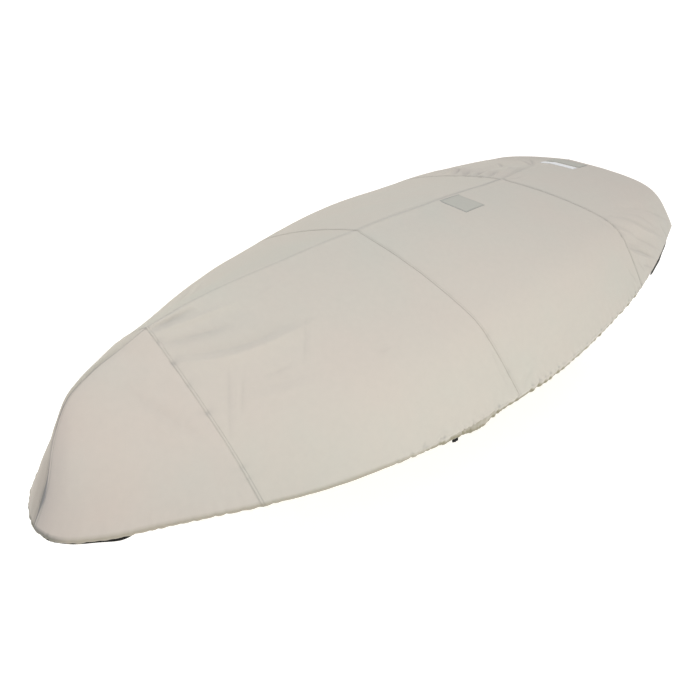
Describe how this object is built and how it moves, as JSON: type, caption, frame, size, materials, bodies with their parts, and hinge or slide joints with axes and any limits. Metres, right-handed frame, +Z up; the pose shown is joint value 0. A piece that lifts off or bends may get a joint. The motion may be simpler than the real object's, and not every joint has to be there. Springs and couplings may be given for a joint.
{
  "type": "boat cover",
  "caption": "Fitted beige polyester cover for a small open boat: sewn panels over a raised ridge, a pointed bow, sloping sides, a turned hem with short black webbing, and an open underside.",
  "frame": {"origin": "On the ridge at the middle seam, on the underside of the upper cloth, where the boat's support holds the cover up.", "axes": "+X points to the stern, +Y to starboard, +Z up as the cover lies over a level boat."},
  "size_m": [4.618, 2.1198, 0.6863],
  "materials": {
    "beige_polyester": "matt woven polyester",
    "grey_patch": "matt woven reinforcement",
    "white_label": "smooth woven tape, bare",
    "black_webbing": "ribbed webbing"
  },
  "bodies": {
    "root": {"bow_panel_port": "beige_polyester", "bow_panel_starboard": "beige_polyester", "front_middle_panel": "beige_polyester", "rear_middle_panel": "beige_polyester", "stern_panel": "beige_polyester", "ridge_patch": "grey_patch", "transom_patch": "grey_patch", "label_strip": "white_label", "bow_webbing_port": "black_webbing", "bow_webbing_starboard": "black_webbing", "side_tab_port": "black_webbing", "side_tab_starboard": "black_webbing", "stern_webbing_port": "black_webbing", "stern_webbing_starboard": "black_webbing"}
  },
  "joints": []
}
